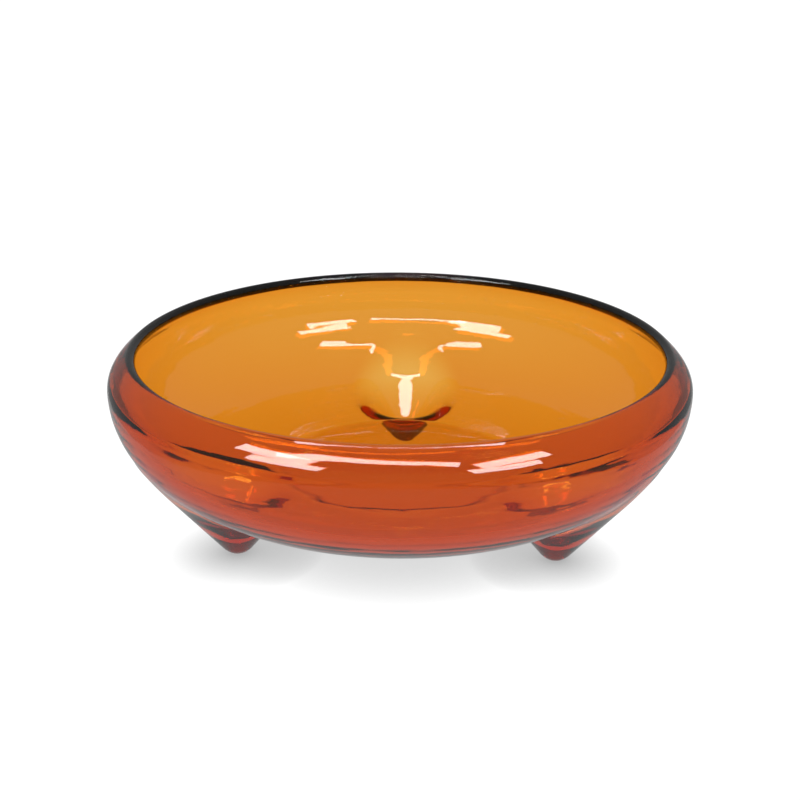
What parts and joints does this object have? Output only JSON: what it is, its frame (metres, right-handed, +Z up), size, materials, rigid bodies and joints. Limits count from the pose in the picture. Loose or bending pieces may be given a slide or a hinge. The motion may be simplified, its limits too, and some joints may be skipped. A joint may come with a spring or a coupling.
{
  "type": "footed glass bowl",
  "caption": "Low round bowl of clear amber glass with a smooth rolled-in rim, standing on conical feet that are hollow from inside.",
  "frame": {"origin": "on the bowl's axis, at the plane that the feet stand on", "axes": "+Z up along the bowl's axis, -Y towards the front, where a foot stands on each side and the third is at the back"},
  "size_m": [0.19, 0.19, 0.063],
  "materials": {
    "amber_glass": "fire-polished transparent amber glass, yellow-orange where thin and red-orange where thick"
  },
  "bodies": {
    "root": {"bowl": "amber_glass", "foot_back": "amber_glass", "foot_front_left": "amber_glass", "foot_front_right": "amber_glass"}
  },
  "joints": []
}
